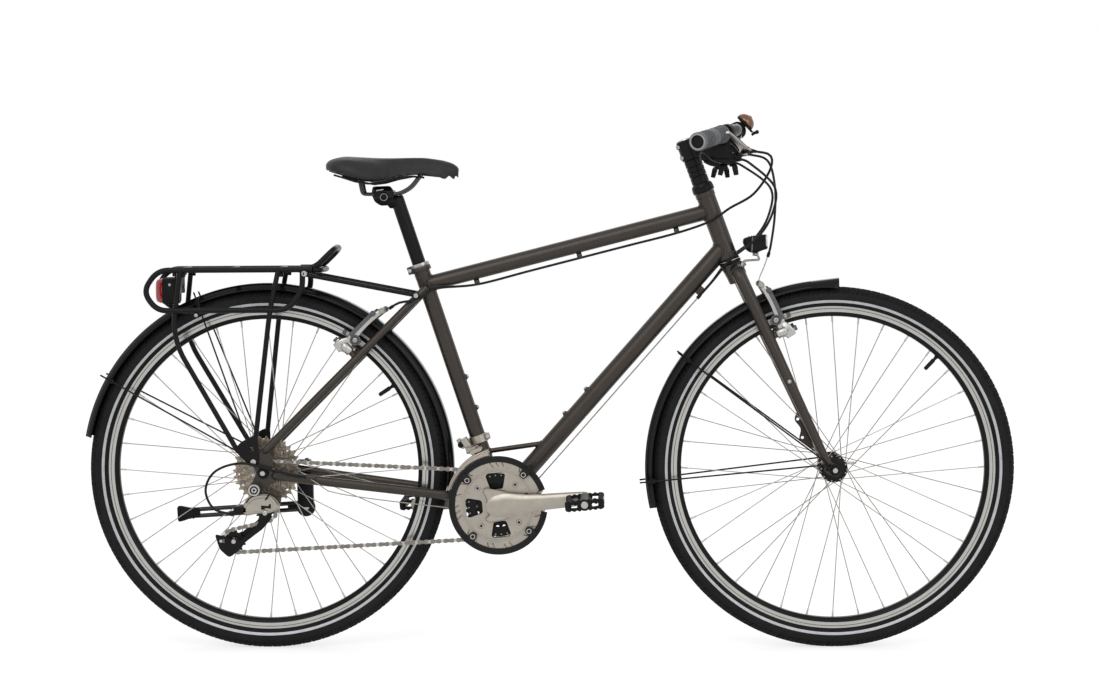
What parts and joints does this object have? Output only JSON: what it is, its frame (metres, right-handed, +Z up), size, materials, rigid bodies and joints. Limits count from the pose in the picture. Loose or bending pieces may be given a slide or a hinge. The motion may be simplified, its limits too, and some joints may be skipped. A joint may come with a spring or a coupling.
{
  "type": "touring bicycle",
  "caption": "Diamond-frame touring bicycle with straight swept bar, rear rack, mudguards, lamps, kickstand, rim brakes and derailleur drive.",
  "frame": {"origin": "middle of the whole bicycle's box, on the ground", "axes": "+X forward along the bicycle, +Y to the rider's left, +Z up"},
  "size_m": [1.8166, 0.5942, 1.0445],
  "materials": {
    "bell_brass": "polished",
    "black_metal": "satin black",
    "black_plastic": "matt",
    "champagne": "satin",
    "frame_paint": "dark bronze metallic, matt",
    "grip_rubber": "matt",
    "saddle_skin": "matt grain",
    "silver": "brushed",
    "steel": "satin",
    "tyre": "matt"
  },
  "bodies": {
    "frame": {"main_frame": "frame_paint", "rear_triangle": "frame_paint", "bottom_bracket": "steel", "headset_lower": "black_metal", "headset_upper": "black_metal", "seat_collar": "silver", "rear_rack": "black_metal", "tail_lamp": "black_plastic", "rear_mudguard": "black_plastic", "chain": "steel", "rear_derailleur": "champagne", "front_derailleur": "silver", "kickstand_bracket": "black_metal", "rear_axle": "steel", "rear_brake_cable": "black_plastic", "rear_shift_cable": "black_plastic", "front_shift_cable": "black_plastic"},
    "steering": {"fork": "frame_paint", "steerer_spacers": "black_metal", "stem": "black_metal", "handlebar": "black_metal", "bell": "bell_brass", "head_lamp": "black_plastic", "front_mudguard": "black_plastic", "front_axle": "steel", "front_brake_cable": "black_plastic", "grip_right": "grip_rubber", "grip_left": "grip_rubber", "controls_right": "black_plastic", "controls_left": "black_plastic"},
    "front_wheel": {"front_rim": "silver", "front_tyre": "tyre", "front_hub": "black_metal"},
    "rear_wheel": {"rear_rim": "silver", "rear_tyre": "tyre", "rear_hub": "silver", "cassette": "champagne"},
    "crankset": {"chainrings": "silver", "chain_guard": "black_plastic", "crank_right": "champagne", "crank_left": "champagne"},
    "guide_pulley": {"guide_pulley": "black_plastic"},
    "tension_pulley": {"tension_pulley": "black_plastic"},
    "kickstand": {"kickstand_leg": "black_metal"},
    "seat": {"seat_post": "black_metal", "saddle_rails": "steel", "saddle": "saddle_skin"},
    "bell_striker": {"bell_striker": "black_plastic"},
    "pedal_right": {"pedal_right": "black_plastic"},
    "brake_lever_right": {"brake_lever_right": "champagne"},
    "shift_lever_right": {"shift_lever_right": "black_plastic"},
    "release_lever_right": {"release_lever_right": "black_plastic"},
    "pedal_left": {"pedal_left": "black_plastic"},
    "brake_lever_left": {"brake_lever_left": "champagne"},
    "shift_lever_left": {"shift_lever_left": "black_plastic"},
    "release_lever_left": {"release_lever_left": "black_plastic"},
    "rear_brake_arm_right": {"rear_brake_arm_right": "silver"},
    "rear_brake_arm_left": {"rear_brake_arm_left": "silver"},
    "front_brake_arm_right": {"front_brake_arm_right": "silver"},
    "front_brake_arm_left": {"front_brake_arm_left": "silver"}
  },
  "joints": [
    {"name": "steering_turn", "type": "hinge", "parent": "frame", "child": "steering", "pos_m": [0.35576, 0, 0.76076], "axis": [-0.342, 0, 0.9397], "range_deg": [-45, 45], "deforming": ["rear_brake_cable", "rear_shift_cable", "front_shift_cable"]},
    {"name": "front_wheel_spin", "type": "hinge", "parent": "steering", "child": "front_wheel", "pos_m": [0.55655, 0, 0.35177], "axis": [0, 1, 0], "continuous": true},
    {"name": "rear_wheel_spin", "type": "hinge", "parent": "frame", "child": "rear_wheel", "pos_m": [-0.54845, 0, 0.35177], "axis": [0, 1, 0], "continuous": true},
    {"name": "crank_spin", "type": "hinge", "parent": "frame", "child": "crankset", "pos_m": [-0.09422, 0, 0.28577], "axis": [0, 1, 0], "continuous": true},
    {"name": "guide_pulley_spin", "type": "hinge", "parent": "frame", "child": "guide_pulley", "pos_m": [-0.54745, -0.062, 0.27777], "axis": [0, 1, 0], "continuous": true},
    {"name": "tension_pulley_spin", "type": "hinge", "parent": "frame", "child": "tension_pulley", "pos_m": [-0.60845, -0.062, 0.21777], "axis": [0, 1, 0], "continuous": true},
    {"name": "pedal_right_spin", "type": "hinge", "parent": "crankset", "child": "pedal_right", "pos_m": [0.07502, -0.1366, 0.30177], "axis": [0, 1, 0], "continuous": true},
    {"name": "brake_lever_right_pull", "type": "hinge", "parent": "steering", "child": "brake_lever_right", "pos_m": [0.3815, -0.132, 0.96601], "axis": [0.0657, -0.2533, -0.9652], "range_deg": [0, 9], "stiffness_Nm_per_rad": 1, "springref_deg": -11.46},
    {"name": "shift_lever_right_push", "type": "hinge", "parent": "steering", "child": "shift_lever_right", "pos_m": [0.3415, -0.14913, 0.93891], "axis": [0, 0, -1], "range_deg": [0, 20], "stiffness_Nm_per_rad": 0.3, "springref_deg": -8.59},
    {"name": "release_lever_right_push", "type": "hinge", "parent": "steering", "child": "release_lever_right", "pos_m": [0.3565, -0.15553, 0.93891], "axis": [0, 0, 1], "range_deg": [0, 12], "stiffness_Nm_per_rad": 0.3, "springref_deg": -8.59},
    {"name": "pedal_left_spin", "type": "hinge", "parent": "crankset", "child": "pedal_left", "pos_m": [-0.26347, 0.1366, 0.26978], "axis": [0, 1, 0], "continuous": true},
    {"name": "brake_lever_left_pull", "type": "hinge", "parent": "steering", "child": "brake_lever_left", "pos_m": [0.3815, 0.132, 0.96601], "axis": [-0.0657, -0.2533, 0.9652], "range_deg": [0, 9], "stiffness_Nm_per_rad": 1, "springref_deg": -11.46},
    {"name": "shift_lever_left_push", "type": "hinge", "parent": "steering", "child": "shift_lever_left", "pos_m": [0.3415, 0.14913, 0.93891], "axis": [0, 0, 1], "range_deg": [0, 20], "stiffness_Nm_per_rad": 0.3, "springref_deg": -8.59},
    {"name": "release_lever_left_push", "type": "hinge", "parent": "steering", "child": "release_lever_left", "pos_m": [0.3565, 0.15553, 0.93891], "axis": [0, 0, -1], "range_deg": [0, 12], "stiffness_Nm_per_rad": 0.3, "springref_deg": -8.59},
    {"name": "rear_brake_arm_right_swing", "type": "hinge", "parent": "frame", "child": "rear_brake_arm_right", "pos_m": [-0.38733, -0.041, 0.59034], "axis": [-0.7076, 0, 0.7066], "range_deg": [0, 3.6]},
    {"name": "rear_brake_arm_left_swing", "type": "hinge", "parent": "frame", "child": "rear_brake_arm_left", "pos_m": [-0.38733, 0.041, 0.59034], "axis": [0.7076, 0, -0.7066], "range_deg": [0, 3.6]},
    {"name": "front_brake_arm_right_swing", "type": "hinge", "parent": "steering", "child": "front_brake_arm_right", "pos_m": [0.45562, -0.041, 0.61784], "axis": [-0.9085, 0, -0.4179], "range_deg": [0, 3.6]},
    {"name": "front_brake_arm_left_swing", "type": "hinge", "parent": "steering", "child": "front_brake_arm_left", "pos_m": [0.45562, 0.041, 0.61784], "axis": [0.9085, 0, 0.4179], "range_deg": [0, 3.6]},
    {"name": "bell_striker_flick", "type": "hinge", "parent": "steering", "child": "bell_striker", "pos_m": [0.40931, 0.07949, 1.00527], "axis": [0.7071, 0, -0.7071], "range_deg": [0, 22], "stiffness_Nm_per_rad": 0.05, "springref_deg": -11.46},
    {"name": "kickstand_fold", "type": "hinge", "parent": "frame", "child": "kickstand", "pos_m": [-0.48845, 0.084, 0.26577], "axis": [-0.2079, 0.9781, 0], "range_deg": [-100, 0]},
    {"name": "seat_height", "type": "slide", "parent": "frame", "child": "seat", "axis": [-0.314, 0, 0.9494], "range_m": [-0.1, 0.04]}
  ],
  "couplings": [
    {"joint": "crank_spin", "follows": "rear_wheel_spin", "ratio": 0.34375},
    {"joint": "guide_pulley_spin", "follows": "rear_wheel_spin", "ratio": -1},
    {"joint": "tension_pulley_spin", "follows": "rear_wheel_spin", "ratio": 1},
    {"joint": "rear_brake_arm_right_swing", "follows": "brake_lever_right_pull", "ratio": 0.4},
    {"joint": "rear_brake_arm_left_swing", "follows": "brake_lever_right_pull", "ratio": 0.4},
    {"joint": "front_brake_arm_right_swing", "follows": "brake_lever_left_pull", "ratio": 0.4},
    {"joint": "front_brake_arm_left_swing", "follows": "brake_lever_left_pull", "ratio": 0.4}
  ]
}
